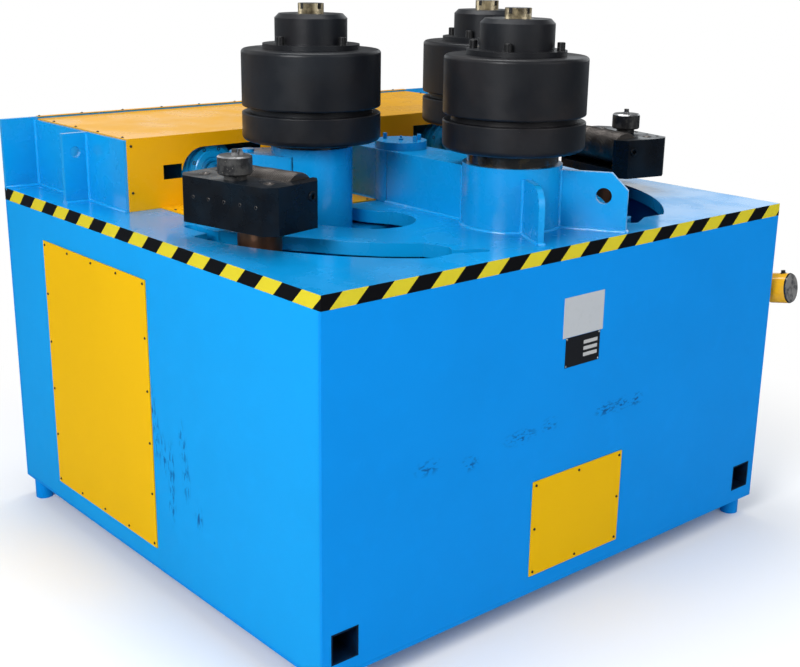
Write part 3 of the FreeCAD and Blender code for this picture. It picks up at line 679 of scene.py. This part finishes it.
class BENDER_OT_tape(bpy.types.Operator):
    """Stick striped tape round the edge of the table"""
    bl_idname = "bender.tape"
    bl_label = "Hazard Tape"

    def execute(self, context):
        sizes = context.scene.bender_sizes
        low, high = TABLE_LOW, TABLE_HIGH
        wide, deep = high.x - low.x, high.y - low.y
        tape = Solid()
        runs = ((low.x, low.y, (1, 0, 0), wide, 0.0725), (low.x, high.y, (0, -1, 0), deep, 0.08),
                (high.x, low.y, (0, 1, 0), deep, 0.05), (high.x, high.y, (-1, 0, 0), wide, 0.03))
        for x, y, way, length, phase in runs:
            self.lay(tape, Vector((x, y, 0)), Vector(way), length, phase, sizes)
        tape.show("hazard_tape", "tape_black tape_yellow", "frame", "black_paint")
        return {"FINISHED"}

    def lay(self, tape, start, way, length, phase, sizes):
        """Cut one straight run of tape into leaning stripes, film thick."""
        film = 0.0004
        outward = Vector((way.y, -way.x, 0))
        bottom, top = TABLE_LOW.z, TABLE_HIGH.z
        pitch, lean = sizes.stripe_pitch, sizes.stripe_lean
        cut = phase - pitch
        stripe = 1
        while cut < length + lean:
            width = pitch / 2
            shape = clip(clip([(cut - lean, 0.0), (cut + width - lean, 0.0), (cut + width, 1.0), (cut, 1.0)], 0.0, 1),
                         length, -1)
            if len(shape) > 2:
                inner = [start + way * u + Vector((0, 0, bottom + (top - bottom) * v)) for u, v in shape]
                tape.slab(inner, [p + outward * film for p in inner], stripe)
            cut += width
            stripe = 1 - stripe


def clip(shape, limit, side):
    """Keep the part of an outline whose first coordinate is beyond a limit."""
    kept = []
    for (ua, va), (ub, vb) in zip(shape, shape[1:] + shape[:1]):
        inside_a, inside_b = (ua - limit) * side >= 0, (ub - limit) * side >= 0
        if inside_a:
            kept.append((ua, va))
        if inside_a != inside_b:
            share = (limit - ua) / (ub - ua)
            kept.append((limit, va + (vb - va) * share))
    return kept


def arc(centre, radius, first, last, up=0.0, steps=24):
    return [on_circle(centre, radius, first + (last - first) * k / steps, TABLE_TOP + up) for k in range(steps + 1)]


class BENDER_OT_welds(bpy.types.Operator):
    """Lay weld beads where plates and housings meet the table and each other"""
    bl_idname = "bender.welds"
    bl_label = "Weld Beads"

    def execute(self, context):
        sizes = context.scene.bender_sizes
        paths = self.spine_paths() + self.gusset_paths() + self.rear_paths()
        sweep_beads("weld_beads", paths, sizes.bead_leg, 0.004, "frame")
        for side in SIDES:
            sweep_beads("clevis_beads_" + side, self.clevis_paths(side), sizes.bead_leg * 0.8, 0.003, "arm_" + side)
        return {"FINISHED"}

    def spine_paths(self):
        low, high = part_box("centre_spine")
        rear_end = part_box("rear_spine")[1].y
        pivot = MIDDLE.y + PIVOT_Y
        paths = []
        for x in (low.x, high.x):
            for front, back in ((low.y, pivot - 0.03), (pivot + 0.03, rear_end)):
                paths.append([(x, front, TABLE_TOP), (x, back, TABLE_TOP)])
            paths.append([(x, low.y, TABLE_TOP), (x, low.y, high.z)])
        return paths

    def gusset_paths(self):
        """Round the centre housing between the plates, and along both plates."""
        centre = place(0, -0.626)
        radius = radius_of("centre_housing")
        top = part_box("centre_rib")[1].z - TABLE_TOP
        paths = [arc(centre, radius, 123, 236), arc(centre, radius, 246, 297, steps=12), arc(centre, radius, 307, 417)]
        for angle, reach, tall in ((241.0, 0.33, top), (302.0, 0.383, top + 0.015)):
            turn = math.radians(angle)
            along = Vector((math.cos(turn), math.sin(turn), 0))
            across = Vector((-along.y, along.x, 0)) * 0.01
            for side in (-1, 1):
                near = centre + along * (radius - 0.001) + across * side
                far = centre + along * reach + across * side
                paths.append([near, far])
                paths.append([near, near + Vector((0, 0, tall))])
            paths.append([centre + along * reach - across, centre + along * reach + across])
        return paths

    def rear_paths(self):
        low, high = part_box("side_plates")
        lug_low, lug_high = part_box("rear_lugs")
        wall_low, wall_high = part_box("rear_plate")
        paths = []
        for x, edge, rim in ((low.x, wall_low.x, lug_low.x), (high.x, wall_high.x, lug_high.x)):
            flat = [(x, low.y, x, lug_low.y), (x, lug_high.y, x, high.y), (edge, wall_low.y, x, wall_low.y),
                    (x, lug_low.y, rim, lug_low.y), (x, lug_high.y, rim, lug_high.y)]
            paths += [[(x0, y0, TABLE_TOP), (x1, y1, TABLE_TOP)] for x0, y0, x1, y1 in flat]
            lug_top = lug_high.z - 0.004
            upright = ((high.y, high.z), (lug_low.y, lug_top), (lug_high.y, lug_top))
            paths += [[(x, y, TABLE_TOP), (x, y, top)] for y, top in upright]
        return paths

    def clevis_paths(self, side):
        """Where the upper plate of the clevis meets the roll housing."""
        housing = "roll_housing_" + side
        first, last = (75, 200) if side == "left" else (105, -20)
        return [arc(centre_of(housing), radius_of(housing), first, last, up) for up in (0.155, 0.065)]


class BENDER_OT_rolls(bpy.types.Operator):
    """Add flange screws, nut details and the dirty top nuts of the rolls"""
    bl_idname = "bender.rolls"
    bl_label = "Roll Fittings"

    def execute(self, context):
        sizes = context.scene.bender_sizes
        head = sizes.cap_screw / 2
        screw = socket_head(head, sizes.cap_screw, head * 0.55, head * 0.9)
        for roll, first in (("left", 8.3), ("right", 20.0), ("centre", 33.0)):
            centre = centre_of("upper_ring_" + roll)
            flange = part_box("upper_ring_" + roll)[1].z + 0.017
            spots = [(on_circle(centre, 0.142, first + 90 * k, flange), UP) for k in range(4)]
            scatter("clamp_screws_" + roll, spots, screw, "screw_black", "roll_" + roll)
            self.top_nut(roll)
        return {"FINISHED"}

    def top_nut(self, roll):
        """A knurled, notched nut round the stub at the top of the shaft."""
        centre = centre_of("clamp_nut_" + roll)
        base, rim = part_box("clamp_nut_" + roll)[1].z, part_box("roll_shaft_" + roll)[1].z
        count, notches, wide = 60, 4, 3
        outer, root, inner = 0.0425, 0.0405, 0.03
        notch_low = base + (rim - base) * 0.45
        nut = Solid()
        outline_points = []
        for k in range(count):
            for radius, turn in ((outer, 2 * math.pi * k / count), (root, 2 * math.pi * (k + 0.5) / count)):
                outline_points.append((radius * math.cos(turn), radius * math.sin(turn)))
        at = Matrix.Translation((centre.x, centre.y, 0))
        nut.prism(outline_points, base, notch_low, at)
        shrink = inner / root
        for quarter in range(0, count, count // notches):
            ks = [2 * ((quarter + wide + i) % count) for i in range(count // notches - wide)]
            teeth = [outline_points[j] for k in ks for j in (k, k + 1)]
            arc_back = [(x * shrink, y * shrink) for x, y in teeth[::-4]]
            nut.prism(teeth + arc_back, notch_low, rim - 0.0005, at)
        nut.show("top_nut_" + roll, "brass_steel", "roll_" + roll, "shaft_steel")


class BENDER_OT_pivot(bpy.types.Operator):
    """Bolt the cap of the pivot post down"""
    bl_idname = "bender.pivot"
    bl_label = "Pivot Cap Bolts"

    def execute(self, context):
        axis, top = place(0, PIVOT_Y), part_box("pivot_post")[1].z
        spots = [(on_circle(axis, 0.066, angle, top), UP) for angle in (110.0, -33.0, -82.0)]
        scatter("pivot_bolts", spots, socket_head(0.0075, 0.02, 0.004, 0.008), "casting_paint", "frame")
        nipple = Solid()
        profile = [(0, 0), (0.009, 0), (0.009, 0.004), (0.005, 0.006), (0.0035, 0.011), (0.0045, 0.014), (0, 0.016)]
        nipple.turned(profile, 12, Matrix.Translation((axis.x, axis.y, top)))
        nipple.show("grease_nipple", "casting_paint", "frame", "blue_paint")
        return {"FINISHED"}


def block_frame(side):
    """Local axes of a guide block: origin under its middle, Z up, Y to its front end, X inboard."""
    sign = SIDES[side]
    turn = math.radians(11.3)
    post = centre_of("guide_post_" + side)
    front = Vector((sign * math.sin(turn), -math.cos(turn), 0))
    outboard = Vector((-sign * math.cos(turn), -math.sin(turn), 0))
    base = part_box("guide_block_" + side)[0].z
    origin = Vector((post.x - sign * 0.0436, post.y - 0.0141, base))
    return origin, front, outboard


class BENDER_OT_guides(bpy.types.Operator):
    """Add threads, knurls and screws to the guide units"""
    bl_idname = "bender.guides"
    bl_label = "Guide Units"

    def execute(self, context):
        sizes = context.scene.bender_sizes
        for side in SIDES:
            origin, front, outboard = block_frame(side)
            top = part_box("guide_block_" + side)[1].z
            self.thread(side, origin, front, outboard, sizes)
            self.screws(side, origin, front, outboard, top)
            self.roller(side, sizes)
        return {"FINISHED"}

    def thread(self, side, origin, front, outboard, sizes):
        """Wind the thread on the spindle between the end plates."""
        radius, reach, rise, across = 0.058, 0.149, 0.103, -0.06
        start = origin + outboard * across + UP * rise - front * reach
        values = {"Radius": radius, "Length": 2 * reach, "Turns": 2 * reach / sizes.thread_pitch,
                  "Depth": sizes.thread_pitch * 0.42}
        piece = grow("spindle_thread_" + side, bpy.data.meshes.new("thread_start"), thread_tree, values,
                     "spindle_steel", "arm_" + side)
        piece.data.transform(facing(start, front))

    def screws(self, side, origin, front, outboard, top):
        """Set screws in the beam, counterbored screws on top and the spindle's end bolt."""
        name, body = "guide_screws_" + side, "arm_" + side
        half_width, half_length = 0.118, 0.2
        level = Vector((origin.x, origin.y, top))
        spots = [(origin + outboard * (half_width - 0.001) + front * u + UP * 0.082, outboard)
                 for u in (-0.121, -0.056, 0.01, 0.076, 0.141)]
        screw = socket_head(0.006, 0.0018, 0.0042, 0.0016)
        scatter(name + "_set", spots, screw, "spindle_steel", body)
        tops = [(level + outboard * 0.055 + front * u, UP) for u in (-0.134, 0.135)]
        scatter(name + "_top", tops, socket_head(0.017, 0.0022, 0.009, 0.002), "spindle_steel", body)
        ends = [(origin + front * half_length + outboard * -0.06 + UP * 0.099, front)]
        scatter(name + "_end", ends, socket_head(0.0155, 0.004, 0.0085, 0.004), "block_paint", body)
        if side == "right":
            taps = [(level + outboard * 0.1 + front * u, UP) for u in (0.018, 0.08, 0.139)]
            scatter(name + "_taps", taps, socket_head(0.0065, 0.001, 0.005, 0.001), "screw_black", body)

    def roller(self, side, sizes):
        """Straight knurls round the roller and the studs on its top."""
        body = "guide_roller_" + side
        centre, radius, foot = centre_of(body), radius_of(body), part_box(body)[0].z
        bottom, tall = foot + 0.0195, 0.0476
        ridge = Solid()
        half = math.pi * radius / sizes.knurls * 0.55
        ridge.prism([(-0.0005, -half), (0.0011, -half * 0.35), (0.0011, half * 0.35), (-0.0005, half)], 0, tall)
        knurl = Solid()
        for k in range(sizes.knurls):
            turn = 2 * math.pi * k / sizes.knurls
            at = Matrix.Translation((centre.x, centre.y, bottom)) @ Matrix.Rotation(turn, 4, "Z")
            knurl.add(ridge.points, ridge.faces, at @ Matrix.Translation((radius - 0.0008, 0, 0)))
        knurl.show("roller_knurl_" + side, "knurled_steel", body, "guide_roller_steel")
        studs = Solid()
        high_top = foot + 0.0711
        worn = [(radius - 0.0046, high_top - 0.0003), (radius - 0.0042, high_top + 0.0004),
                (radius + 0.0004, high_top - 0.0041), (radius - 0.0002, high_top - 0.0046)]
        studs.turned(worn + worn[:1], 72, Matrix.Translation((centre.x, centre.y, 0)))
        spots = ((0.0, 0.0), (0.022, 0.003)) if side == "left" else ((0.0, 0.0),)
        for dx, dy in spots:
            profile = [(0, 0), (0.0105, 0), (0.0105, 0.009), (0.0075, 0.0095), (0.0075, 0.0175), (0, 0.0178)]
            studs.turned(profile, 6, Matrix.Translation((centre.x + dx, centre.y + dy, high_top - 0.001)))
        studs.show("roller_studs_" + side, "bright_steel", body, "guide_roller_steel")


class BENDER_OT_cylinders(bpy.types.Operator):
    """Add the stepped rings and screws of the cylinder heads"""
    bl_idname = "bender.cylinders"
    bl_label = "Cylinder Heads"

    def execute(self, context):
        low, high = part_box("drive_cylinders")
        level = (low.z + high.z) / 2
        head = Solid()
        spots = []
        for sign in (-1, 1):
            spot = Vector((MIDDLE.x + sign * 0.5665, low.y, level))
            at = facing(spot, (0, 1, 0))
            profile = [(0.046, -0.004), (0.066, -0.004), (0.07, 0.0), (0.07, 0.006), (0.088, 0.008), (0.088, 0.012),
                       (0.046, 0.012)]
            head.turned(profile + profile[:1], 48, at)
            for back in (0.022, 0.036):
                ring = [(0.096, back), (0.102, back + 0.002), (0.102, back + 0.006), (0.096, back + 0.008)]
                head.turned(ring + ring[:1], 48, at)
            for k in range(8):
                turn = math.radians(22.5 + 45 * k)
                around = Vector((0.078 * math.cos(turn), 0, 0.078 * math.sin(turn)))
                spots.append((spot + around + Vector((0, 0.008, 0)), (0, -1, 0)))
        head.show("cylinder_head_rings", "casting_paint", "frame", "blue_paint")
        screw = socket_head(0.007, 0.009, 0.004, 0.005)
        scatter("cylinder_head_screws", spots, screw, "screw_black", "frame")
        return {"FINISHED"}


class BENDER_OT_plates(bpy.types.Operator):
    """Fix the two bare plates on the front wall"""
    bl_idname = "bender.plates"
    bl_label = "Bare Plates"

    def execute(self, context):
        front = TABLE_LOW.y
        sticker = Solid()
        self.sheet(sticker, -0.1, 0.09, -0.168, -0.3, front, 0.0004, 0)
        sticker.show("grey_plate", "plate_grey", "frame", "blue_paint")
        plate = Solid()
        self.sheet(plate, -0.085, 0.078, -0.301, -0.4, front, 0.0012, 0)
        for k in range(3):
            up = -0.322 - 0.021 * k
            self.sheet(plate, 0.0, 0.066, up, up - 0.012, front - 0.0012, 0.0003, 1)
        for x in (-0.08, 0.073):
            for up in (-0.306, -0.395):
                spot = Vector((MIDDLE.x + x, front - 0.0012, TABLE_TOP + up))
                plate.turned([(0, 0), (0.0035, 0), (0.0028, 0.0016), (0, 0.002)], 12, facing(spot, (0, -1, 0)), 2)
        plate.show("blank_rating_plate", "plate_black plate_pale bright_steel", "frame", "blue_paint")
        return {"FINISHED"}

    def sheet(self, solid, x0, x1, top, bottom, y, thick, slot):
        corners = ((x0, bottom), (x1, bottom), (x1, top), (x0, top))
        back = [Vector((MIDDLE.x + x, y, TABLE_TOP + up)) for x, up in corners]
        solid.slab(back, [p + Vector((0, -thick, 0)) for p in back], slot)


class BENDER_OT_bar(bpy.types.Operator):
    """Add the small fitting on the end of the round bar"""
    bl_idname = "bender.bar"
    bl_label = "Bar Fitting"

    def execute(self, context):
        end, ahead = bar_axis()
        side = ahead.cross(UP).normalized()
        up = side.cross(ahead).normalized()
        fitting = Solid()
        at = facing(end - ahead * 0.03 + up * 0.052, up)
        fitting.turned([(0, 0), (0.012, 0), (0.012, 0.006), (0.008, 0.007), (0.008, 0.016), (0, 0.017)], 10, at)
        fitting.show("bar_fitting", "screw_black", "frame", "black_paint")
        return {"FINISHED"}


class BENDER_OT_stage(bpy.types.Operator):
    """Set the camera, the floor, the sky and the lamps"""
    bl_idname = "bender.stage"
    bl_label = "Camera, Floor and Light"

    def execute(self, context):
        stage = context.scene.bender_stage
        self.camera(context, stage)
        self.floor(context)
        self.sky(context, stage)
        self.lamps(context, stage)
        context.scene.view_settings.view_transform = "Standard"
        return {"FINISHED"}

    def camera(self, context, stage):
        data = bpy.data.cameras.new("camera")
        data.sensor_fit = "HORIZONTAL"
        data.sensor_width = 36.0
        data.lens = stage.lens
        data.clip_end = 200.0
        camera = bpy.data.objects.new("camera", data)
        context.scene.collection.objects.link(camera)
        a, e, r = stage.azimuth, stage.tilt, stage.roll
        ahead = Vector((math.sin(a) * math.cos(e), math.cos(a) * math.cos(e), -math.sin(e)))
        right = ahead.cross(UP).normalized()
        up = right.cross(ahead)
        across = right * math.cos(r) + up * math.sin(r)
        above = up * math.cos(r) - right * math.sin(r)
        turn = Matrix((across, above, -ahead)).transposed().to_4x4()
        spot = Vector((MIDDLE.x + stage.camera_x, MIDDLE.y + stage.camera_y, stage.camera_height))
        camera.matrix_world = Matrix.Translation(spot) @ turn
        context.scene.camera = camera

    def floor(self, context):
        """A floor that is white to the camera further out and dim where glossy paint mirrors it."""
        size = 60.0
        mesh = bpy.data.meshes.new("floor")
        corners = [(-size, -size, 0), (size, -size, 0), (size, size, 0), (-size, size, 0)]
        mesh.from_pydata(corners, [], [(0, 1, 2, 3)])
        material = bpy.data.materials.new("floor_pale")
        material.use_nodes = True
        tree = material.node_tree
        shader = tree.nodes["Principled BSDF"]
        for label, value in (("Base Color", (0.84, 0.84, 0.84, 1.0)), ("Roughness", 0.9), ("Specular IOR Level", 0.1)):
            shader.inputs[label].default_value = value
        white = new_node(tree, "ShaderNodeEmission")
        dim = new_node(tree, "ShaderNodeEmission", {"Color": (0.1, 0.12, 0.14, 1.0)})
        coords = new_node(tree, "ShaderNodeTexCoord")
        reach = new_node(tree, "ShaderNodeVectorMath", operation="LENGTH")
        fade = new_node(tree, "ShaderNodeMapRange", {"From Min": 1.3, "From Max": 2.6}, interpolation_type="SMOOTHSTEP")
        seen = new_node(tree, "ShaderNodeMath", operation="MULTIPLY")
        path = new_node(tree, "ShaderNodeLightPath")
        shine, mix = new_node(tree, "ShaderNodeMixShader"), new_node(tree, "ShaderNodeMixShader")
        wire(tree, (coords, "Object", reach, 0), (reach, "Value", fade, "Value"), (fade, "Result", seen, 0),
             (path, "Is Camera Ray", seen, 1), (path, "Is Glossy Ray", shine, "Fac"), (shader, "BSDF", shine, 1),
             (dim, "Emission", shine, 2), (seen, 0, mix, "Fac"), (shine, "Shader", mix, 1),
             (white, "Emission", mix, 2), (mix, "Shader", tree.nodes["Material Output"], "Surface"))
        mesh.materials.append(material)
        floor = bpy.data.objects.new("floor", mesh)
        context.scene.collection.objects.link(floor)

    def sky(self, context, stage):
        """A white sky to the camera, a plain one for light and a patchy one for glossy paint."""
        world = bpy.data.worlds.new("sky")
        context.scene.world = world
        world.use_nodes = True
        tree = world.node_tree
        plain = tree.nodes["Background"]
        plain.inputs["Color"].default_value = (0.9, 0.95, 1.0, 1.0)
        plain.inputs["Strength"].default_value = stage.sky
        white = new_node(tree, "ShaderNodeBackground", {"Color": (1.0, 1.0, 1.0, 1.0)})
        mirrored = new_node(tree, "ShaderNodeBackground", {"Color": (0.93, 0.97, 1.0, 1.0)})
        path = new_node(tree, "ShaderNodeLightPath")
        either = new_node(tree, "ShaderNodeMath", operation="MAXIMUM")
        shine, mix = new_node(tree, "ShaderNodeMixShader"), new_node(tree, "ShaderNodeMixShader")
        wire(tree, (self.brightness(tree), 0, mirrored, "Strength"), (path, "Is Camera Ray", either, 0),
             (path, "Is Transmission Ray", either, 1), (path, "Is Glossy Ray", shine, "Fac"),
             (plain, "Background", shine, 1), (mirrored, "Background", shine, 2), (either, 0, mix, "Fac"),
             (shine, "Shader", mix, 1), (white, "Background", mix, 2),
             (mix, "Shader", tree.nodes["World Output"], "Surface"))

    def brightness(self, tree):
        """What shines back from glossy paint: bright patches behind and to the left, dim in front."""
        coords = new_node(tree, "ShaderNodeTexCoord")
        patches = ((70.0, 8.0, 0.86, 0.985, 1.1), (22.0, 7.0, 0.955, 0.995, 0.8), (-30.0, 8.0, 0.55, 1.0, 0.9))
        total = None
        for azimuth, lift, edge, heart, amount in patches:
            turn, rise = math.radians(azimuth), math.radians(lift)
            way = (math.sin(turn) * math.cos(rise), math.cos(turn) * math.cos(rise), math.sin(rise))
            dot = new_node(tree, "ShaderNodeVectorMath", {1: way}, operation="DOT_PRODUCT")
            limits = {"From Min": edge, "From Max": heart, "To Min": 0.0, "To Max": amount}
            patch = new_node(tree, "ShaderNodeMapRange", limits, interpolation_type="SMOOTHSTEP")
            add = new_node(tree, "ShaderNodeMath", {1: 0.14}, operation="ADD")
            wire(tree, (coords, "Generated", dot, 0), (dot, "Value", patch, "Value"), (patch, "Result", add, 0))
            if total is not None:
                wire(tree, (total, 0, add, 1))
            total = add
        return total

    def lamps(self, context, stage):
        middle = place(0, 0, 0)
        lamps = (
            ("key", (-5.4, -2.4, 2.7), 2.6, stage.key_power),
            ("fill", (0.8, -6.0, 2.6), 4.0, stage.key_power * 0.36),
            ("top", (0.5, 1.0, 5.6), 3.5, stage.key_power * 0.75),
        )
        for name, offset, size, power in lamps:
            data = bpy.data.lights.new(name, "AREA")
            data.shape = "SQUARE"
            data.size = size
            data.energy = power
            lamp = bpy.data.objects.new(name, data)
            context.scene.collection.objects.link(lamp)
            spot = middle + Vector(offset)
            lamp.matrix_world = Matrix.Translation(spot) @ (middle - spot).to_track_quat("-Z", "Y").to_matrix().to_4x4()


class BENDER_PT_panel(bpy.types.Panel):
    """Lists the steps that dress the machine"""
    bl_idname = "BENDER_PT_panel"
    bl_label = "Profile Bender"
    bl_space_type = "VIEW_3D"
    bl_region_type = "UI"
    bl_category = "Bender"

    def draw(self, context):
        layout = self.layout
        for group in (context.scene.bender_looks, context.scene.bender_sizes, context.scene.bender_stage):
            box = layout.box()
            for key in group.bl_rna.properties.keys():
                if key not in ("rna_type", "name"):
                    box.prop(group, key)
        for operator in OPERATORS:
            layout.operator(operator.bl_idname)


OPERATORS = (
    BENDER_OT_paint, BENDER_OT_screws, BENDER_OT_tape, BENDER_OT_welds, BENDER_OT_rolls, BENDER_OT_pivot,
    BENDER_OT_guides, BENDER_OT_cylinders, BENDER_OT_plates, BENDER_OT_bar, BENDER_OT_stage,
)
GROUPS = {"bender_looks": BenderLooks, "bender_sizes": BenderSizes, "bender_stage": BenderStage}


def register():
    for group in GROUPS.values():
        bpy.utils.register_class(group)
    for operator in OPERATORS:
        bpy.utils.register_class(operator)
    bpy.utils.register_class(BENDER_PT_panel)
    for name, group in GROUPS.items():
        setattr(bpy.types.Scene, name, PointerProperty(type=group))


def unregister():
    for name in GROUPS:
        delattr(bpy.types.Scene, name)
    bpy.utils.unregister_class(BENDER_PT_panel)
    for operator in reversed(OPERATORS):
        bpy.utils.unregister_class(operator)
    for group in reversed(GROUPS.values()):
        bpy.utils.unregister_class(group)


def main():
    register()
    for operator in OPERATORS:
        group, name = operator.bl_idname.split(".")
        getattr(getattr(bpy.ops, group), name)()


if __name__ == "__main__":
    main()
